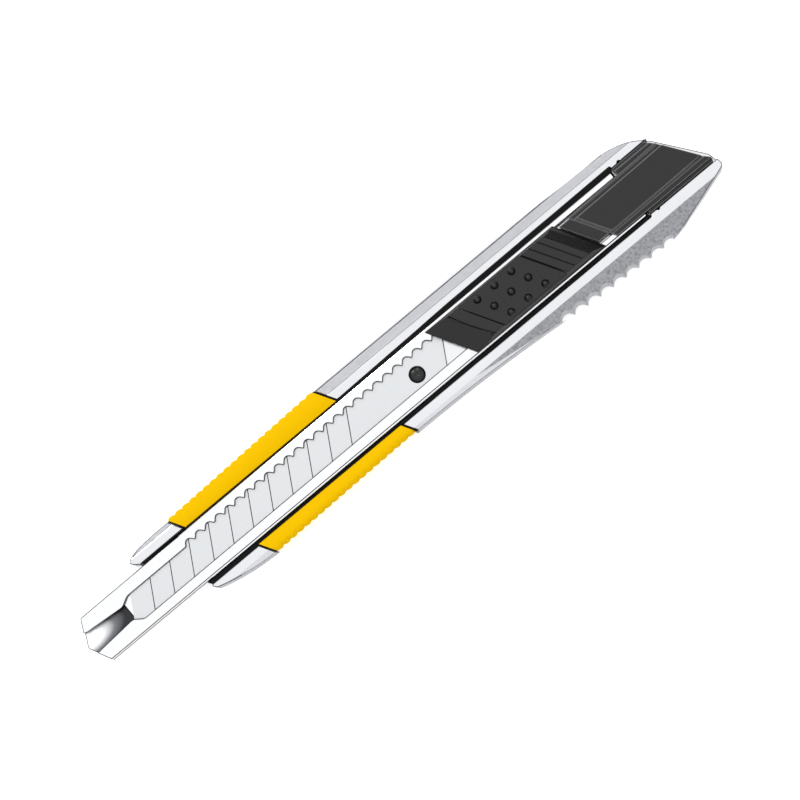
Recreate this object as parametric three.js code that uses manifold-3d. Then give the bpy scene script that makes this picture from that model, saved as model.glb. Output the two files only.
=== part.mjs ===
// A snap-off utility knife: a die-cast handle with soft side grips carries a folded steel channel,
// a scored blade runs in the channel on a thumb slider, and a cap closes the rear end.
// Millimetres. +X runs from the nose to the rear, +Z is up through the thumb slider, and the
// origin is on the flat back of the handle, under the middle of the channel.
import * as THREE from "three";
import { mergeVertices } from "three/addons/utils/BufferGeometryUtils.js";
import Module from "manifold-3d";

const wasm = await Module();
wasm.setup();

// ---- Driving dimensions ----

const RAKE = Math.tan(THREE.MathUtils.degToRad(30)); // every slanted end leans 30 degrees
const GAP = 0.1; // running and assembly clearance

const NOSE_X = -77.65; // foremost point of the channel
const TAIL_X = 77.65; // rearmost point of the handle

// Heights above the back of the handle
const FLOOR_TOP = 3.4; // floor of the trough in the casting
const RIM_TOP = 6.8; // polished rim beside the channel
const CHANNEL_BASE = 4.3;
const CHANNEL_TOP = 7.2;
const SHEET = 0.5; // channel sheet thickness
const PLATE_BASE = CHANNEL_BASE + SHEET + GAP;
const PLATE_TOP = PLATE_BASE + 0.9;
const BLADE_BASE = PLATE_TOP + 0.15;
const BLADE_TOP = BLADE_BASE + 0.4;
const SLIDER_BASE = CHANNEL_TOP + GAP;

// Widths, as half widths from the middle of the channel
const TROUGH_HALF = 6.2;
const LINER_HALF = TROUGH_HALF - GAP;
const CHANNEL_HALF = 5.3;
const CAVITY_HALF = CHANNEL_HALF - SHEET;
const SLOT_HALF = 2.72; // between the lips, ahead of the notches
const THROAT_HALF = 1.6; // where the lips close in at the nose
const BAY_HALF = 3.6; // between the lips behind the notches

// Blade: 9 mm snap-off, scored every 5 mm
const BLADE_HALF = 4.5;
const SEGMENT = 5;
const SCORES = 11;
const FIRST_SCORE_X = -60.93; // where the first score crosses the middle of the blade
const BLADE_TAIL_X = 13;
const POST = { x: 5.76, y: -0.3, radius: 1.6 };

// Notches of the automatic lock, in the upper lip
const NOTCH_PITCH = 2.5;
const FIRST_NOTCH_X = -49.3;
const LOCK_NOTCH = 30; // the notch that holds the retracted slider
const NOTCHES = 37;
const NOTCH_ROOT = 3.7;
const NOTCH_TIP = 2.88;

// Slanted stations: the x at which a slanted edge crosses the middle line
const CHANNEL_END_X = 59.8;
const UPPER_GRIP = { front: -44.7, rear: -6.35 };
const LOWER_GRIP = { front: -42.4, rear: -6.5 };
const GRIP_BORDER = 0.55; // black border shown at each end of a grip
const CAP_CATCH_X = 62.4; // where the cap's side catches snap into the trough walls

// ---- Finishes ----

function finish(color, roughness, metalness) {
  return new THREE.MeshStandardMaterial({ color, roughness, metalness });
}

const finishes = {
  castZinc: finish(0xc9cacd, 0.28, 1),
  stainless: finish(0xdfe0e2, 0.2, 1),
  bladeSteel: finish(0xbfc2c5, 0.35, 1),
  springSteel: finish(0xa9acb0, 0.35, 1),
  yellowRubber: finish(0xf9c400, 0.55, 0),
  blackPlastic: finish(0x2c2c2e, 0.45, 0),
};

// ---- Solids from outlines ----

// A closed geometry as a manifold solid.
function solidOf(geometry) {
  const bare = geometry.clone();
  bare.deleteAttribute("normal");
  bare.deleteAttribute("uv");
  const merged = mergeVertices(bare, 1e-4);
  return new wasm.Manifold(
    new wasm.Mesh({
      numProp: 3,
      vertProperties: merged.attributes.position.array,
      triVerts: new Uint32Array(merged.index.array),
    }),
  );
}

// A manifold solid as flat-shaded geometry.
function geometryOf(solid) {
  const mesh = solid.getMesh();
  const indexed = new THREE.BufferGeometry();
  indexed.setAttribute("position", new THREE.BufferAttribute(mesh.vertProperties, 3));
  indexed.setIndex(new THREE.BufferAttribute(mesh.triVerts, 1));
  const geometry = indexed.toNonIndexed();
  geometry.computeVertexNormals();
  return geometry;
}

function shapeOf(outline) {
  return outline instanceof THREE.Shape
    ? outline
    : new THREE.Shape(outline.map(([a, b]) => new THREE.Vector2(a, b)));
}

function extruded(outline, depth, curveSegments) {
  return new THREE.ExtrudeGeometry(shapeOf(outline), {
    depth,
    bevelEnabled: false,
    curveSegments,
  });
}

// An outline in plan (x, y), from height z0 to z1.
function prismZ(outline, z0, z1, curveSegments = 6) {
  return solidOf(extruded(outline, z1 - z0, curveSegments).translate(0, 0, z0));
}

// A cross section (y, z), from x0 to x1.
function prismX(outline, x0, x1, curveSegments = 4) {
  const axes = new THREE.Matrix4().makeBasis(
    new THREE.Vector3(0, 1, 0),
    new THREE.Vector3(0, 0, 1),
    new THREE.Vector3(1, 0, 0),
  );
  const geometry = extruded(outline, x1 - x0, curveSegments).applyMatrix4(axes);
  return solidOf(geometry.translate(x0, 0, 0));
}

// A side profile (x, z), across from y0 to y1.
function prismY(outline, y0, y1, curveSegments = 4) {
  const axes = new THREE.Matrix4().makeBasis(
    new THREE.Vector3(1, 0, 0),
    new THREE.Vector3(0, 0, 1),
    new THREE.Vector3(0, -1, 0),
  );
  const geometry = extruded(outline, y1 - y0, curveSegments).applyMatrix4(axes);
  return solidOf(geometry.translate(0, y1, 0));
}

function block([x0, y0, z0], [x1, y1, z1]) {
  const box = new THREE.BoxGeometry(x1 - x0, y1 - y0, z1 - z0);
  return solidOf(box.translate((x0 + x1) / 2, (y0 + y1) / 2, (z0 + z1) / 2));
}

// An upright turned solid. The profile is (radius, z) from the axis round to the axis.
function turned(profile, x, y, sides = 24) {
  const points = profile.map(([r, z]) => new THREE.Vector2(r, z));
  const lathe = new THREE.LatheGeometry(points, sides);
  lathe.rotateX(Math.PI / 2);
  return solidOf(lathe.translate(x, y, 0));
}

function disc(radius, z0, z1, x, y, sides = 24) {
  const cylinder = new THREE.CylinderGeometry(radius, radius, z1 - z0, sides);
  cylinder.rotateX(Math.PI / 2);
  return solidOf(cylinder.translate(x, y, (z0 + z1) / 2));
}

// The x of a slanted edge at y. Handle, grips, slider and cap lean one way, the blade the other.
const leaning = (x, y) => x - RAKE * y;
const bladeLean = (x, y) => x + RAKE * y;

// A slanted slab in plan, between two slanted edges and between y0 and y1.
function slantedSlab(front, rear, y0, y1, z0, z1) {
  return prismZ(
    [
      [leaning(front, y0), y0],
      [leaning(rear, y0), y0],
      [leaning(rear, y1), y1],
      [leaning(front, y1), y1],
    ],
    z0,
    z1,
  );
}

function rectangle(y0, y1, z0, z1, radius) {
  const shape = new THREE.Shape();
  shape.absarc(y1 - radius, z0 + radius, radius, -Math.PI / 2, 0);
  shape.absarc(y1 - radius, z1 - radius, radius, 0, Math.PI / 2);
  shape.absarc(y0 + radius, z1 - radius, radius, Math.PI / 2, Math.PI);
  shape.absarc(y0 + radius, z0 + radius, radius, Math.PI, 1.5 * Math.PI);
  return shape;
}

function named(name, solid, material) {
  const mesh = new THREE.Mesh(geometryOf(solid), material);
  mesh.name = name;
  return mesh;
}

// ---- Handle casting ----

const RIDGES = 8;
const RIDGE_PITCH = 3.08;
const FIRST_RIDGE = new THREE.Vector2(37.1, -10.8);
const LAST_RIDGE = new THREE.Vector2(FIRST_RIDGE.x + (RIDGES - 1) * RIDGE_PITCH, -12);
const RIDGE_DEPTH = 1;
const FRONT_UPPER = [-59.2, 5.9]; // the slanted front edge runs between these two corners
const FRONT_LOWER = [-51.2, -5.9];

// The handle in plan: a straight upper edge, a keel with finger ridges, and a slanted tail.
function castingOutline() {
  const shape = new THREE.Shape();
  shape.moveTo(...FRONT_LOWER);
  shape.quadraticCurveTo(-51, -7.1, -49.8, -7.35);
  shape.quadraticCurveTo(-43.5, -9.25, -36.5, -9.25);
  shape.lineTo(-1.8, -8.8);
  shape.quadraticCurveTo(17, -8.8, 34, -10.5);
  shape.lineTo(34.8, -9.95);
  for (let i = 0; i < RIDGES; i++) {
    const tip = FIRST_RIDGE.clone().lerp(LAST_RIDGE, i / (RIDGES - 1));
    const valley = tip.y + RIDGE_DEPTH;
    shape.lineTo(tip.x, tip.y);
    shape.quadraticCurveTo(tip.x + 0.4, valley, tip.x + RIDGE_PITCH * 0.6, valley);
  }
  shape.quadraticCurveTo(61.4, -11.9, 62.4, -11.8);
  shape.quadraticCurveTo(64.4, -11.5, 66, -10.8);
  shape.lineTo(77, -7.5);
  shape.quadraticCurveTo(TAIL_X, -7.2, TAIL_X, -6.5);
  shape.lineTo(76.8, -3.6);
  shape.lineTo(69.8, 5.6);
  shape.quadraticCurveTo(69.2, 6.3, 68.2, 6.6);
  shape.quadraticCurveTo(64.8, 9.2, 60.3, 9.5);
  shape.lineTo(50.6, 9.7);
  shape.quadraticCurveTo(40, 10.3, 29, 10.3);
  shape.lineTo(-10, 10.2);
  shape.lineTo(-49.6, 8.95);
  shape.quadraticCurveTo(-57, 8.9, -59.2, 8.3);
  shape.quadraticCurveTo(-62.2, 6.9, -60, 6.1);
  shape.lineTo(...FRONT_UPPER);
  return shape;
}

// The handle across: flat back, rounded flanks, a bright rim and two outer facets.
const CASTING_SECTION = [
  [7.4, 0],
  [9.2, 0.8],
  [10.4, 2.7],
  [10.5, 4.2],
  [10, 5.2],
  [7.8, RIM_TOP],
  [-7.8, RIM_TOP],
  [-12, 4.9],
  [-12.4, 3.8],
  [-11.6, 1.6],
  [-8.6, 0],
];
const LINER_SHOULDER = [-8, 20, 58]; // stations along x where the upper wall of the bed steps out
const SHOULDER_STEP = [0, 0.3, 0.5];
const CAP_BAY = { front: 60.5, upper: 6.2, lower: 5.6 }; // the trough behind the bed
const LINER_END_X = CAP_BAY.front - GAP;

// The trough in plan. The bed's upper wall grows thicker towards the rear.
function troughOutline(clearance) {
  const half = LINER_HALF + clearance;
  const upper = LINER_SHOULDER.map((x, i) => [x, half + SHOULDER_STEP[i]]);
  return { half, upper };
}

const RIVETS = [
  { name: "front_rivet", x: -30 },
  { name: "rear_rivet", x: 52 },
];
const RIVET_SHANK = 0.9;
const RIVET_HEAD = 1.7;
const RIVET_POCKET = 2;
const RIVET_TAIL_TOP = 1.2;

function rivetHole(x, z0, z1) {
  return disc(RIVET_SHANK + GAP, z0, z1, x, 0);
}

// The zone of one grip, as a slanted slab that reaches past the flank on side +1 or -1.
function gripZone(grip, side, inner, z0, z1, grow) {
  const [y0, y1] = side > 0 ? [inner, 13] : [-13, -inner];
  return slantedSlab(grip.front - grow, grip.rear + grow, y0, y1, z0, z1);
}

const CORE_HALF = 6.95; // flank of the casting left under a grip
const CORE_TOP = 5.4;

function handleCasting() {
  let casting = prismZ(castingOutline(), 0, RIM_TOP, 5).intersect(
    prismX(CASTING_SECTION, -80, 80),
  );
  const { half, upper } = troughOutline(GAP);
  const bed = [
    [-80, -half],
    [CAP_BAY.front, -half],
    [CAP_BAY.front, half + SHOULDER_STEP[2]],
    ...upper.reverse(),
    [-80, half],
  ];
  casting = casting
    .subtract(prismZ(bed, FLOOR_TOP, RIM_TOP + 1))
    .subtract(block([50, -CAP_BAY.lower, FLOOR_TOP], [80, CAP_BAY.upper, RIM_TOP + 1]));
  const border = GRIP_BORDER + GAP;
  for (const [grip, side] of GRIPS) {
    casting = casting
      .subtract(gripZone(grip, side, CORE_HALF, -1, RIM_TOP + 1, border))
      .subtract(gripZone(grip, side, TROUGH_HALF - 1, CORE_TOP, RIM_TOP + 1, border));
  }
  for (const { x } of RIVETS) {
    casting = casting
      .subtract(rivetHole(x, -1, FLOOR_TOP + 1))
      .subtract(disc(RIVET_POCKET, -1, RIVET_TAIL_TOP + GAP, x, 0));
  }
  for (const wall of [CAP_BAY.upper, -CAP_BAY.lower]) {
    const notch = catchOutline(wall, 0.9, 0.45);
    casting = casting.subtract(prismZ(notch, FLOOR_TOP + 0.4, RIM_TOP + 1));
  }
  return casting;
}

// A small triangle in plan on a side wall: half its length along x, and how far it stands out.
function catchOutline(wall, halfLength, height) {
  const out = Math.sign(wall);
  return [
    [CAP_CATCH_X - halfLength, wall - out * 0.3],
    [CAP_CATCH_X + halfLength, wall - out * 0.3],
    [CAP_CATCH_X, wall + out * height],
  ];
}

// ---- Channel liner: the black bed that shows on both sides of the channel ----

const WING_HALF = 7.6; // outer face of the wings that carry the grips
const WING_TOP = RIM_TOP - 0.5;
const WING_BASE = 0.4;

function channelLiner() {
  const inner = CHANNEL_HALF + GAP;
  const wallTop = RIM_TOP - 0.15;
  const frontAt = (y) => THREE.MathUtils.mapLinear(y, 5.9, -5.9, -59, -51);
  const { half, upper } = troughOutline(0);
  const bed = [
    [frontAt(-half), -half],
    [LINER_END_X, -half],
    [LINER_END_X, half + SHOULDER_STEP[2]],
    ...upper.reverse(),
    [frontAt(half), half],
  ];
  let liner = prismZ(bed, FLOOR_TOP + GAP, wallTop);
  for (const [grip, side] of GRIPS) liner = liner.add(gripWing(grip, side, inner, wallTop));
  liner = liner.subtract(block([-80, -inner, CHANNEL_BASE - GAP], [80, inner, RIM_TOP + 1]));
  for (const [grip, side] of GRIPS) {
    const flange = GRIP_INNER[side] - GAP / 2;
    liner = liner
      .subtract(gripZone(grip, side, WING_HALF, -1, RIM_TOP + 1, GAP / 2))
      .subtract(gripZone(grip, side, flange, WING_TOP, RIM_TOP + 1, GAP / 2));
  }
  for (const { x } of RIVETS) liner = liner.subtract(rivetHole(x, 2, CHANNEL_BASE + 1));
  return liner;
}

// The part of the liner that wraps over the flank of the casting and carries one grip.
function gripWing(grip, side, inner, top) {
  const core = block(
    [-80, -CORE_HALF - GAP, -1],
    [80, CORE_HALF + GAP, CORE_TOP + GAP],
  );
  return gripZone(grip, side, inner, WING_BASE, top, GRIP_BORDER)
    .subtract(core)
    .intersect(prismX(LINER_WING_LIMIT, -80, 80));
}

const GRIPS = [
  [UPPER_GRIP, 1],
  [LOWER_GRIP, -1],
];
const GRIP_INNER = { 1: 5.85, "-1": 5.72 }; // inner edge of each grip's top flange
const LINER_WING_LIMIT = [
  [8, WING_BASE],
  [9, 1.5],
  [9, RIM_TOP - 1.1],
  [8.2, RIM_TOP],
  [-8.2, RIM_TOP],
  [-9, RIM_TOP - 1.1],
  [-9, 1.5],
  [-8, WING_BASE],
];

// ---- Soft grips ----

const GRIP_BASE = 0.35;
const GRIP_TOP = RIM_TOP + 0.1;
const GRIP_WAVE = 1.8;
const GRIP_WAVE_DEPTH = 0.32;
const GRIP_EDGES = {
  upper: { grip: UPPER_GRIP, side: 1, frontY: 9.4, rearY: 10.55 },
  lower: { grip: LOWER_GRIP, side: -1, frontY: 9.4, rearY: 8.6 },
};

// The outer edge is a run of shallow scallops between the slanted ends.
function sideGrip({ grip, side, frontY, rearY }) {
  const inner = GRIP_INNER[side];
  const points = [
    [leaning(grip.front, side * inner), side * inner],
    [leaning(grip.rear, side * inner), side * inner],
  ];
  const rearX = leaning(grip.rear, side * rearY);
  const frontX = leaning(grip.front, side * frontY);
  const waves = Math.round((rearX - frontX) / GRIP_WAVE);
  const STEPS = 4;
  for (let i = 0; i <= waves * STEPS; i++) {
    const share = i / (waves * STEPS);
    const bulge = Math.abs(Math.sin((Math.PI * i) / STEPS)) ** 0.8 * GRIP_WAVE_DEPTH;
    const y = side * (THREE.MathUtils.lerp(rearY, frontY, share) - GRIP_WAVE_DEPTH + bulge);
    const middleX = THREE.MathUtils.lerp(grip.rear, grip.front, share);
    points.push([leaning(middleX, y), y]);
  }
  const lean = Math.atan2(side * (rearY - frontY), rearX - frontX);
  const middle = (rearX + frontX) / 2;
  const half = (rearY + frontY) / 2;
  const section = [
    [half - 1.4, GRIP_BASE],
    [half - 0.2, GRIP_BASE + 0.9],
    [half + 0.25, GRIP_BASE + 2.4],
    [half + 0.2, GRIP_TOP - 1.7],
    [half - 0.5, GRIP_TOP - 0.55],
    [half - 1.3, GRIP_TOP],
    [0, GRIP_TOP],
    [0, GRIP_BASE],
  ].map(([y, z]) => [side * y, z]);
  const crown = prismX(section, -40, 40)
    .rotate([0, 0, THREE.MathUtils.radToDeg(lean)])
    .translate([middle, 0, 0]);
  const wing = gripZone(grip, side, -20, -1, WING_TOP + GAP / 2, 5).intersect(
    block([-80, -WING_HALF - GAP / 2, -1], [80, WING_HALF + GAP / 2, 8]),
  );
  return prismZ(points, GRIP_BASE, GRIP_TOP).intersect(crown).subtract(wing);
}

// ---- Steel channel ----

// The slot between the lips: flared at the nose, closed in at the throat, plain, notched, then wide.
function slotOutline() {
  const upper = [
    [NOSE_X - 2, 2.6],
    [-76, 2.4],
    [-67.6, THROAT_HALF],
    [-66.9, THROAT_HALF],
    [-65.3, SLOT_HALF],
    [FIRST_NOTCH_X - 1, SLOT_HALF],
  ];
  for (let i = 0; i < NOTCHES; i++) {
    const x = FIRST_NOTCH_X + i * NOTCH_PITCH;
    upper.push([x - 0.55, NOTCH_ROOT - 0.18]);
    upper.push([x - 0.2, NOTCH_ROOT]);
    upper.push([x + 0.2, NOTCH_ROOT]);
    upper.push([x + 0.6, NOTCH_ROOT - 0.18]);
    if (i < NOTCHES - 1) {
      upper.push([x + 1.05, NOTCH_TIP + 0.05]);
      upper.push([x + 1.3, NOTCH_TIP]);
      upper.push([x + 1.6, NOTCH_TIP + 0.05]);
    }
  }
  upper.push([FIRST_NOTCH_X + NOTCHES * NOTCH_PITCH - 1, BAY_HALF], [CHANNEL_END_X + 2, BAY_HALF]);
  const lower = [
    [CHANNEL_END_X + 2, -BAY_HALF],
    [45, -BAY_HALF],
    [44.4, -SLOT_HALF],
    [-65.3, -SLOT_HALF],
    [-66.9, -THROAT_HALF],
    [-67.6, -THROAT_HALF],
    [-76, -2.4],
    [NOSE_X - 2, -2.6],
  ];
  return [...lower.reverse(), ...upper.reverse()];
}

const NOSE_OUTLINE = [
  [-75.1, -CHANNEL_HALF - 1],
  [CHANNEL_END_X, -CHANNEL_HALF - 1],
  [CHANNEL_END_X, CHANNEL_HALF + 1],
  [-75.1, CHANNEL_HALF + 1],
  [-75.1, CHANNEL_HALF],
  [-77.4, 0.6],
  [NOSE_X, 0.2],
  [NOSE_X, -0.2],
  [-77.4, -0.6],
  [-75.1, -CHANNEL_HALF],
];

function bladeChannel() {
  const outer = rectangle(-CHANNEL_HALF, CHANNEL_HALF, CHANNEL_BASE, CHANNEL_TOP, 0.8);
  const cavity = rectangle(
    -CAVITY_HALF,
    CAVITY_HALF,
    CHANNEL_BASE + SHEET,
    CHANNEL_TOP - SHEET,
    0.3,
  );
  let channel = prismX(outer, NOSE_X - 1, CHANNEL_END_X)
    .subtract(prismX(cavity, NOSE_X - 2, CHANNEL_END_X + 1))
    .subtract(prismZ(slotOutline(), CHANNEL_TOP - SHEET - 0.4, CHANNEL_TOP + 1))
    .intersect(prismZ(NOSE_OUTLINE, CHANNEL_BASE - 1, CHANNEL_TOP + 1));
  for (const { x } of RIVETS) channel = channel.subtract(rivetCountersink(x));
  return channel;
}

const floorInside = CHANNEL_BASE + SHEET;

function rivetCountersink(x) {
  const cone = [
    [0, floorInside - 1],
    [RIVET_SHANK + GAP, floorInside - 1],
    [RIVET_SHANK + GAP, CHANNEL_BASE],
    [RIVET_HEAD + GAP, floorInside],
    [RIVET_HEAD + GAP, floorInside + 0.2],
    [0, floorInside + 0.2],
  ];
  return turned(cone, x, 0);
}

// A rivet with a sunk head in the channel floor and a flat tail in the back of the casting.
function rivet(x) {
  return turned(
    [
      [0, 0.25],
      [RIVET_HEAD, 0.25],
      [RIVET_HEAD, RIVET_TAIL_TOP],
      [RIVET_SHANK, RIVET_TAIL_TOP],
      [RIVET_SHANK, CHANNEL_BASE + 0.05],
      [RIVET_HEAD, floorInside - 0.02],
      [RIVET_HEAD, floorInside],
      [0, floorInside],
    ],
    x,
    0,
  );
}

// ---- Blade ----

const BEVEL_WIDTH = 1.1;
const SCORE_DEPTH = 0.12;
const SCORE_HALF = 0.12;

function blade() {
  const middle = (BLADE_BASE + BLADE_TOP) / 2;
  const section = [
    [-BLADE_HALF, middle - 0.02],
    [-BLADE_HALF + BEVEL_WIDTH, BLADE_BASE],
    [BLADE_HALF, BLADE_BASE],
    [BLADE_HALF, BLADE_TOP],
    [-BLADE_HALF + BEVEL_WIDTH, BLADE_TOP],
    [-BLADE_HALF, middle + 0.02],
  ];
  const frontX = FIRST_SCORE_X - SEGMENT;
  const outline = [
    [bladeLean(frontX, -6), -6],
    [bladeLean(BLADE_TAIL_X, -6), -6],
    [bladeLean(BLADE_TAIL_X, 6), 6],
    [bladeLean(frontX, 6), 6],
  ];
  let steel = prismX(section, -90, 40).intersect(prismZ(outline, 0, 10));
  for (let i = 0; i < SCORES; i++) {
    const x = FIRST_SCORE_X + i * SEGMENT;
    const groove = prismY(
      [
        [x, BLADE_TOP - SCORE_DEPTH],
        [x + 2 * SCORE_HALF, BLADE_TOP + SCORE_DEPTH],
        [x - 2 * SCORE_HALF, BLADE_TOP + SCORE_DEPTH],
      ],
      -6,
      6,
    );
    steel = steel.subtract(sheared(groove, RAKE));
  }
  return steel.subtract(disc(POST.radius + 0.15, 0, 10, POST.x, POST.y));
}

// Slides every point along x by lean times its y.
function sheared(solid, lean) {
  return solid.warp((point) => {
    point[0] += lean * point[1];
  });
}

// ---- Slider: steel plate under the blade, blade post, lock spring and thumb piece ----

const PLATE = { front: 1.6, rear: 44, half: 4.4 };
const STAKES = [
  [21, 0],
  [39, -1.55],
];
const STAKE_RADIUS = 0.75;
const LOCK_X = FIRST_NOTCH_X + LOCK_NOTCH * NOTCH_PITCH;
const LOCK_PIVOT = { x: 41, y: 1 };

function slidePlate() {
  const outline = new THREE.Shape();
  outline.moveTo(PLATE.front + 1.5, -PLATE.half);
  outline.lineTo(PLATE.rear - 1, -PLATE.half);
  outline.lineTo(PLATE.rear, -PLATE.half + 1);
  outline.lineTo(PLATE.rear, PLATE.half - 1);
  outline.lineTo(PLATE.rear - 1, PLATE.half);
  outline.lineTo(PLATE.front + 1.5, PLATE.half);
  outline.quadraticCurveTo(PLATE.front, 0, PLATE.front + 1.5, -PLATE.half);
  let plate = prismZ(outline, PLATE_BASE, PLATE_TOP);
  plate = plate.subtract(disc(0.9 + GAP, 0, 10, POST.x, POST.y));
  for (const [x, y] of STAKES) plate = plate.subtract(disc(STAKE_RADIUS + GAP, 0, 10, x, y));
  return plate;
}

// A stepped pin: thin through the plate, full width through the blade, with a domed top.
function bladePost() {
  const top = BLADE_TOP + 0.25;
  return turned(
    [
      [0, PLATE_BASE],
      [0.9, PLATE_BASE],
      [0.9, PLATE_TOP + 0.05],
      [POST.radius, PLATE_TOP + 0.05],
      [POST.radius, top - 0.2],
      [POST.radius - 0.2, top],
      [0.6, top],
      [0.5, top - 0.06],
      [0, top - 0.06],
    ],
    POST.x,
    POST.y,
  );
}

const LEAF_THICK = 0.35;
const SPRING_BASE = PLATE_TOP + GAP;
const SPRING_TOP = CHANNEL_TOP - 0.05;
const EYE_RADIUS = 0.75;

// A steel leaf with a round eye at the rear and a tooth that stands in a notch of the lip.
function lockSpring() {
  const y0 = LOCK_PIVOT.y;
  const leaf = prismZ(
    [
      [LOCK_X - 1.6, y0 + 0.6],
      [LOCK_PIVOT.x, y0 - LEAF_THICK / 2],
      [LOCK_PIVOT.x, y0 + LEAF_THICK / 2],
      [LOCK_X + 1.2, y0 + 0.6 + LEAF_THICK],
      [LOCK_X + 0.7, y0 + 1.2],
      [LOCK_X + 0.28, NOTCH_ROOT - 0.15],
      [LOCK_X - 0.28, NOTCH_ROOT - 0.15],
      [LOCK_X - 0.7, y0 + 1.2],
      [LOCK_X - 1.6, y0 + 0.6 + LEAF_THICK],
    ],
    SPRING_BASE,
    SPRING_TOP,
  );
  return leaf.add(disc(EYE_RADIUS, SPRING_BASE, SPRING_TOP, LOCK_PIVOT.x, y0));
}

// The thumb piece's side profile at the middle line, as x and the height above the lips.
const SLIDER_PROFILE = [
  [14.9, GAP],
  [47.2, GAP],
  [47.2, 0.8],
  [46.2, 2],
  [44, 3.5],
  [43.4, 3.7],
  [42.4, 3.7],
  [42.2, 3.4],
  [40.4, 3.4],
  [40.2, 3.1],
  [38.4, 3.1],
  [38.1, 2.7],
  [34, 2.55],
  [30, 2.5],
  [26, 2.55],
  [22.7, 2.7],
  [22.4, 3],
  [20.8, 3.05],
  [19.4, 2.5],
  [17.2, 1.5],
  [14.9, 0.85],
].map(([x, height]) => [x, CHANNEL_TOP + height]);
const SLIDER_SECTION = [
  [-4.75, GAP],
  [4.75, GAP],
  [4.75, 0.9],
  [4.3, 2.2],
  [3.9, 4],
  [-3.9, 4],
  [-4.3, 2.2],
  [-4.75, 0.9],
].map(([y, height]) => [y, CHANNEL_TOP + height]);
const BUMP_HEIGHT = 2.6; // centre of each bump above the lips
const BUMP_RADIUS = 0.75;
const BUMPS = { x: 30.06, pitch: 4.3, rows: 3.05 };

function thumbSlider() {
  let slider = sheared(prismY(SLIDER_PROFILE, -6, 6), -RAKE).intersect(
    prismX(SLIDER_SECTION, 0, 60),
  );
  for (const row of [-1, 0, 1]) {
    for (const column of [-1, 0, 1]) {
      const y = row * BUMPS.rows;
      const x = leaning(BUMPS.x + column * BUMPS.pitch, y);
      const bump = new THREE.SphereGeometry(BUMP_RADIUS, 12, 8);
      bump.rotateX(Math.PI / 2);
      slider = slider.add(solidOf(bump.translate(x, y, CHANNEL_TOP + BUMP_HEIGHT)));
    }
  }
  const stem = block([18, -2.4, PLATE_TOP + 0.05], [43.4, 2.4, SLIDER_BASE + 0.2]);
  slider = slider.add(stem);
  for (const [x, y] of STAKES) {
    slider = slider.add(disc(STAKE_RADIUS, PLATE_BASE, PLATE_TOP + 0.2, x, y));
  }
  // The pocket leaves the spring room to draw its tooth out of the notches.
  const pocket = prismZ(
    [
      [LOCK_X - 2.2, 0.4],
      [LOCK_PIVOT.x + 0.9, -0.75],
      [LOCK_PIVOT.x + 0.9, 1.9],
      [LOCK_X + 2.4, 3],
      [LOCK_X - 2.2, 3],
    ],
    PLATE_TOP - 0.5,
    SPRING_TOP + GAP,
  );
  return slider.subtract(pocket);
}

// ---- End cap ----

const CAP = {
  tongueFront: 47.5,
  panelFront: 50.15,
  sillTop: CHANNEL_TOP + 0.75,
  panelTop: CHANNEL_TOP + 1.1,
  blockFront: 60.6,
  flangeTop: RIM_TOP + 0.1,
};
const CAP_REAR = [
  [76.5, -5.3],
  [76.7, -4.8],
  [75.3, -3.4],
  [69.5, 4.8],
  [68.4, 6],
];

// The cap in plan between two sides, from a slanted front edge back to the slanted rear end.
function capLayer(front, y0, y1, z0, z1) {
  const whole = [
    [leaning(front, -7), -7],
    [76.5, -7],
    ...CAP_REAR,
    [68.4, 7],
    [leaning(front, 7), 7],
  ];
  return prismZ(whole, z0, z1).intersect(block([40, y0, z0 - 1], [80, y1, z1 + 1]));
}

function endCap() {
  const lower = -CAP_BAY.lower + GAP;
  const upper = CAP_BAY.upper - GAP;
  const flanges = capLayer(CAP.blockFront - 8, lower, upper, FLOOR_TOP + GAP, CAP.flangeTop)
    .intersect(block([CAP.blockFront, -8, 0], [80, 8, 10]));
  const sill = capLayer(CAP.panelFront, -4.55, 4.35, SLIDER_BASE, CAP.sillTop);
  const panel = capLayer(CAP.panelFront + 0.5, -3.45, 3.25, SLIDER_BASE, CAP.panelTop);
  const neck = block([CAP.blockFront, -4.3, FLOOR_TOP + 1], [68, 4.2, CHANNEL_TOP + 0.5]);
  const tongue = slantedSlab(
    CAP.tongueFront,
    66,
    -BAY_HALF + 0.2,
    BAY_HALF - 0.2,
    PLATE_TOP,
    CHANNEL_TOP + 0.3,
  );
  let cap = flanges.add(sill).add(panel).add(neck).add(tongue);
  for (const wall of [upper, lower]) {
    const bump = catchOutline(wall, 0.6, 0.05);
    cap = cap.add(prismZ(bump, FLOOR_TOP + 0.6, CAP.flangeTop));
  }
  return cap.subtract(slantedSlab(70, 90, -3.6, 4.6, FLOOR_TOP + 1.4, FLOOR_TOP + 2.2));
}

// ---- Assembly ----

const knife = new THREE.Group();
knife.add(
  named("handle_casting", handleCasting(), finishes.castZinc),
  named("channel_liner", channelLiner(), finishes.blackPlastic),
  named("upper_grip", sideGrip(GRIP_EDGES.upper), finishes.yellowRubber),
  named("lower_grip", sideGrip(GRIP_EDGES.lower), finishes.yellowRubber),
  named("blade_channel", bladeChannel(), finishes.stainless),
  named("blade", blade(), finishes.bladeSteel),
  named("slide_plate", slidePlate(), finishes.springSteel),
  named("blade_post", bladePost(), finishes.blackPlastic),
  named("lock_spring", lockSpring(), finishes.springSteel),
  named("thumb_slider", thumbSlider(), finishes.blackPlastic),
  named("end_cap", endCap(), finishes.blackPlastic),
);
for (const { name, x } of RIVETS) knife.add(named(name, rivet(x), finishes.springSteel));

export default knife;
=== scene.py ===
# %% [markdown]
# # A snap-off utility knife
#
# The knife is already measured and jointed as a CAD model. This lesson loads that model as a fixed
# frame and rebuilds every surface that shows, with rounder edges and real finishes. Each new piece
# takes the place of one CAD piece and rides on the same moving body, so the slider still slides.

# %% Load the frame
import math

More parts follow.
